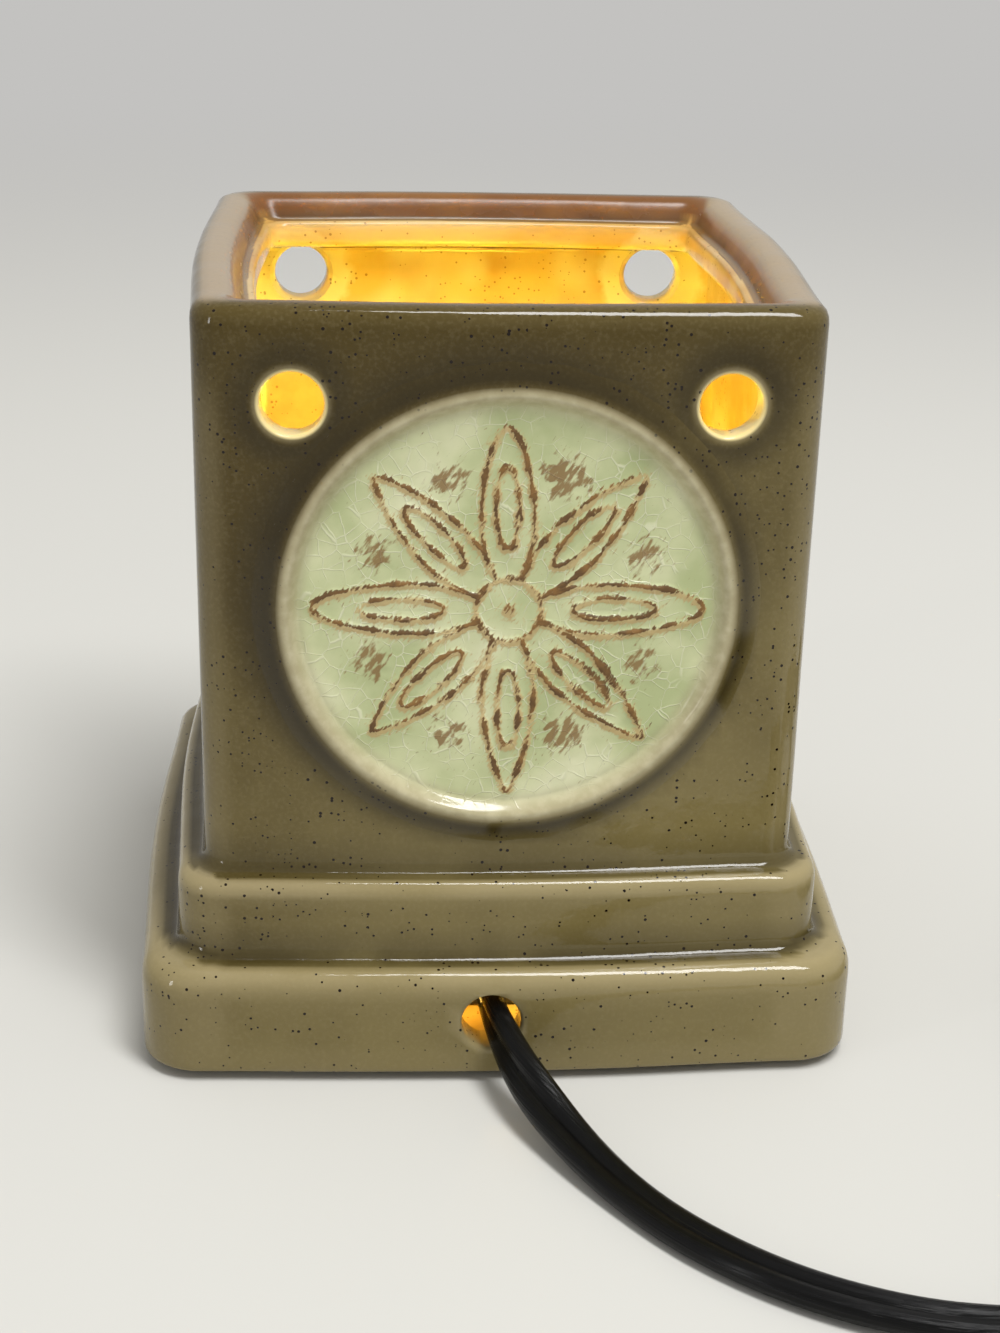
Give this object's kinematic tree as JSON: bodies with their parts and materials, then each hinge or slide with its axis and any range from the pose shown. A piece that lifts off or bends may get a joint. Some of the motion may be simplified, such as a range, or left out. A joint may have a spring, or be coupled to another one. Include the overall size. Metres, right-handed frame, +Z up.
{
  "type": "wax warmer",
  "caption": "Square glazed ceramic wax warmer lit by a bulb, with a stepped base, round rosette medallions, vent holes, open rim for a dish and a corded switch.",
  "frame": {"origin": "middle of the underside of the four pads, on the surface that the warmer stands on", "axes": "+Z up through the bulb, -Y towards the side where the cord leaves, +X to the right seen from that side"},
  "size_m": [0.2771, 0.2147, 0.1364],
  "materials": {
    "taupe_glaze": "glossy taupe glaze with fine dark specks, paler where it breaks over edges",
    "green_glaze": "glossy pale green crackle glaze with a brown rosette in relief",
    "felt": "pressed felt",
    "zinc": "zinc plated",
    "fibre": "vulcanised fibre",
    "porcelain": "white porcelain",
    "brass": "plain sheet brass",
    "phenolic": "moulded phenolic",
    "nickel": "nickel plated",
    "glass": "clear glass",
    "tungsten": "tungsten wire, lit",
    "black_plastic": "moulded black plastic",
    "cord_vinyl": "semi-gloss black vinyl"
  },
  "bodies": {
    "base": {"case_screw_in": "zinc", "case_screw_out": "zinc", "ceramic_body": "taupe_glaze", "clamp_washer": "zinc", "coil_tie": "black_plastic", "contact_block": "phenolic", "contact_spring": "nickel", "cord_coil": "cord_vinyl", "cord_lead": "cord_vinyl", "fibre_washer": "fibre", "grip_bar": "black_plastic", "grip_base": "black_plastic", "grip_screw_left": "zinc", "grip_screw_right": "zinc", "lead_wire_left": "cord_vinyl", "lead_wire_right": "cord_vinyl", "medallion_front": "green_glaze", "medallion_rear": "green_glaze", "nipple": "zinc", "nut_lower": "zinc", "nut_upper": "zinc", "pad_front_left": "felt", "pad_front_right": "felt", "pad_rear_left": "felt", "pad_rear_right": "felt", "plug_blade_left": "nickel", "plug_blade_right": "nickel", "plug_body": "black_plastic", "screw_shell": "brass", "socket_body": "porcelain", "switch_contact_in": "brass", "switch_contact_out": "brass", "switch_lower": "black_plastic", "switch_pin": "zinc", "switch_upper": "black_plastic", "terminal_left": "brass", "terminal_right": "brass"},
    "contact": {"contact_plunger": "brass"},
    "bulb": {"bulb_tip": "nickel", "bulb_insulator": "phenolic", "bulb_cap": "nickel", "bulb_glass": "glass", "bulb_stem": "glass", "filament": "tungsten", "filament_post_left": "nickel", "filament_post_right": "nickel"},
    "switch_wheel": {"switch_wheel": "black_plastic"}
  },
  "joints": [
    {"name": "contact_rise", "type": "slide", "parent": "base", "child": "contact", "axis": [0, 0, 1], "range_m": [0, 0.00282], "deforming": ["contact_spring"]},
    {"name": "bulb_turn", "type": "hinge", "parent": "contact", "child": "bulb", "pos_m": [0, 0, 0.0344], "axis": [0, 0, 1], "range_deg": [0, 360]},
    {"name": "wheel_turn", "type": "hinge", "parent": "base", "child": "switch_wheel", "pos_m": [0.11203, -0.12572, 0.0121], "axis": [0, 0, 1], "continuous": true}
  ],
  "couplings": [
    {"joint": "bulb_turn", "follows": "contact_rise", "rad_per_m": 2228}
  ]
}
